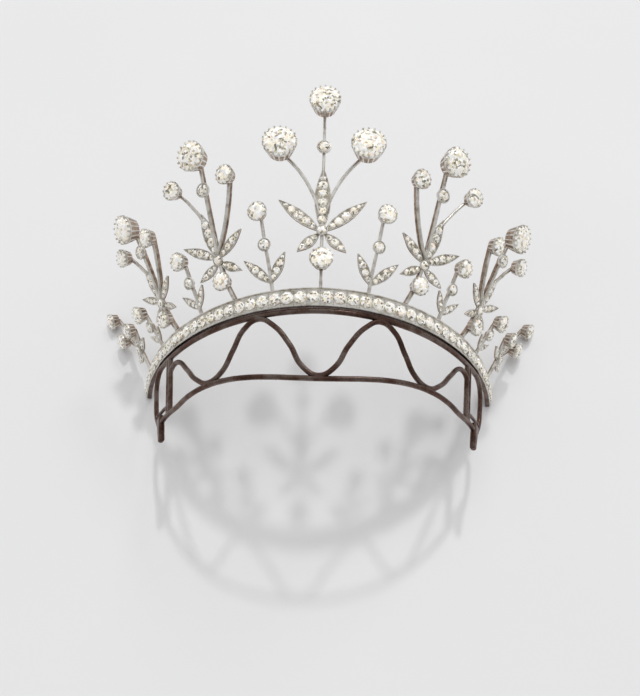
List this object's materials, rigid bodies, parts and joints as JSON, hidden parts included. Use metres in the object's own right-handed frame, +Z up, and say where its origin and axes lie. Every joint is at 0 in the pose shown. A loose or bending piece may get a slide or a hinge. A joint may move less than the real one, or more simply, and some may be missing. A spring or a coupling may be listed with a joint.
{
  "type": "diadem",
  "caption": "Diadem of diamond-set flower sprays on a single-row band, above an open wire frame with a wavy inner wire and two feet for the hair.",
  "frame": {"origin": "centre of the footprint at floor level, with the diadem lying on its back", "axes": "+X along the width to the wearer's left as seen from the front (picture right), +Y from the feet towards the tips of the sprays, +Z up from the back to the front of the diadem"},
  "size_m": [0.1502, 0.0968, 0.0704],
  "materials": {
    "frame_metal": "darkened, satin",
    "band_metal": "grain-set with diamonds",
    "spray_metal": "polished silver over gold",
    "stones": "faceted and polished"
  },
  "bodies": {
    "root": {"centre_spray": "spray_metal", "centre_spray_stone_crown": "stones", "centre_spray_stone_left": "stones", "centre_spray_stone_right": "stones", "centre_spray_stone_lower": "stones", "front_sprig_left": "spray_metal", "front_sprig_stone_crown_left": "stones", "front_sprig_right": "spray_metal", "front_sprig_stone_crown_right": "stones", "front_spray_left": "spray_metal", "front_spray_stone_crown_left": "stones", "front_spray_stone_inner_left": "stones", "front_spray_stone_outer_left": "stones", "front_spray_stone_lower_left": "stones", "front_spray_right": "spray_metal", "front_spray_stone_crown_right": "stones", "front_spray_stone_inner_right": "stones", "front_spray_stone_outer_right": "stones", "front_spray_stone_lower_right": "stones", "side_sprig_left": "spray_metal", "side_sprig_stone_crown_left": "stones", "side_sprig_right": "spray_metal", "side_sprig_stone_crown_right": "stones", "side_spray_left": "spray_metal", "side_spray_stone_crown_left": "stones", "side_spray_stone_inner_left": "stones", "side_spray_stone_outer_left": "stones", "side_spray_stone_lower_left": "stones", "side_spray_right": "spray_metal", "side_spray_stone_crown_right": "stones", "side_spray_stone_inner_right": "stones", "side_spray_stone_outer_right": "stones", "side_spray_stone_lower_right": "stones", "rear_sprig_left": "spray_metal", "rear_sprig_stone_crown_left": "stones", "rear_sprig_right": "spray_metal", "rear_sprig_stone_crown_right": "stones", "rear_spray_left": "spray_metal", "rear_spray_stone_crown_left": "stones", "rear_spray_stone_inner_left": "stones", "rear_spray_stone_outer_left": "stones", "rear_spray_right": "spray_metal", "rear_spray_stone_crown_right": "stones", "rear_spray_stone_inner_right": "stones", "rear_spray_stone_outer_right": "stones", "wire_frame": "frame_metal", "stone_band": "band_metal"}
  },
  "joints": []
}
